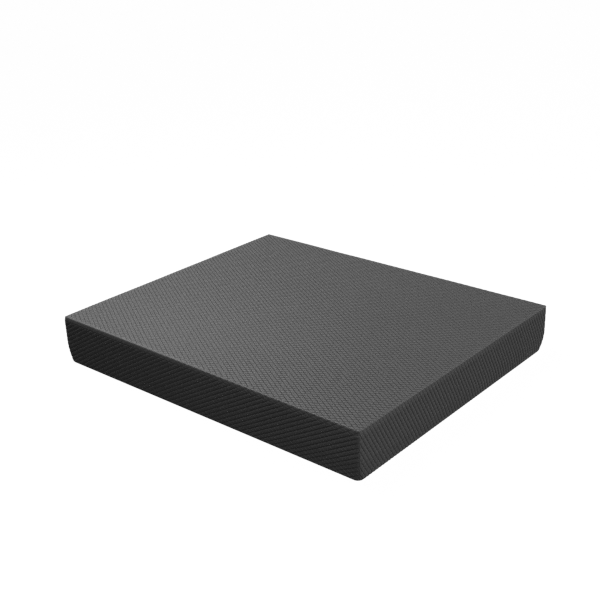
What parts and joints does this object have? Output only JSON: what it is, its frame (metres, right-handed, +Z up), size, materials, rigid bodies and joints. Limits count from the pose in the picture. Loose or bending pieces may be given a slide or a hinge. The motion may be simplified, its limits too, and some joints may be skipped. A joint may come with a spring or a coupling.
{
  "type": "balance pad",
  "caption": "Rectangular foam balance pad: a soft slab with a diamond-embossed top and sides, crisp top edges, rounded bottom edges and a flat underside.",
  "frame": {"origin": "middle of the underside, on the surface that the pad rests on", "axes": "+X along the long side, +Y along the short side, +Z up through the thickness to the standing face"},
  "size_m": [0.4, 0.33, 0.052],
  "materials": {
    "cover_skin": "matte embossed foam skin",
    "base_skin": "matte grip skin",
    "core_foam": "matte closed-cell foam"
  },
  "bodies": {
    "base": {"base_sheet": "base_skin", "core_ply_1": "core_foam", "core_ply_2": "core_foam", "core_ply_3": "core_foam"},
    "top": {"core_ply_4": "core_foam", "core_ply_5": "core_foam", "embossed_cover": "cover_skin"}
  },
  "joints": [
    {"name": "compress", "type": "slide", "parent": "base", "child": "top", "axis": [0, 0, 1], "range_m": [-0.018, 0], "stiffness_N_per_m": 45000, "deforming": ["embossed_cover", "core_ply_2", "core_ply_3", "core_ply_4"]}
  ]
}
